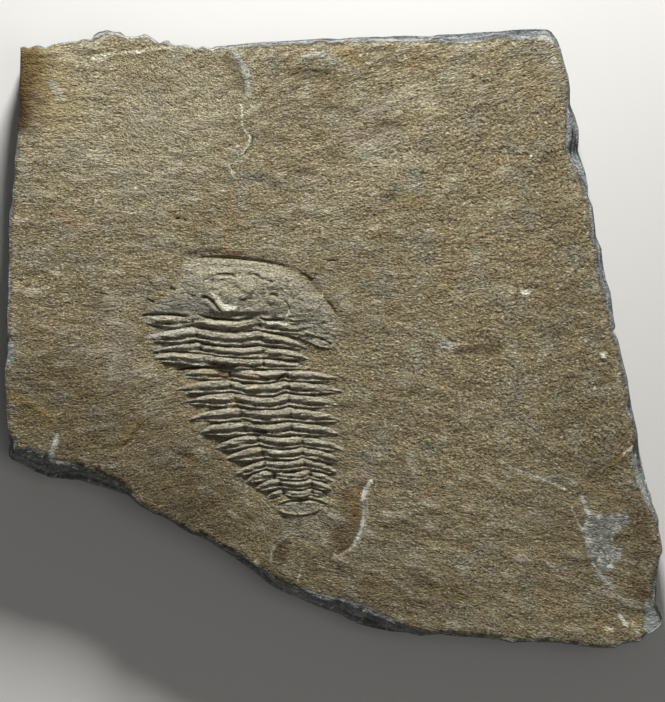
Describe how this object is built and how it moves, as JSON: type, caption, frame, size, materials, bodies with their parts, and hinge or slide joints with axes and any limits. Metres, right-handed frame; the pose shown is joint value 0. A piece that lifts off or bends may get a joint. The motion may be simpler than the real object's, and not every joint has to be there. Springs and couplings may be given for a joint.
{
  "type": "trilobite fossil",
  "caption": "Broken slab of dark shale lying flat, with a complete flattened trilobite in low relief on its upper bedding face.",
  "frame": {"origin": "centre of the slab's footprint box, on the surface that it rests on", "axes": "+Z out of the bedding face that carries the fossil, +X along the slab's longest side, +Y from the fossil's tail towards its head"},
  "size_m": [0.0992, 0.0934, 0.0119],
  "materials": {
    "shale": "matt olive-brown weathered bedding face, greyer fossil, blue-grey fresh broken sides"
  },
  "bodies": {
    "root": {"fossil_slab": "shale"}
  },
  "joints": []
}
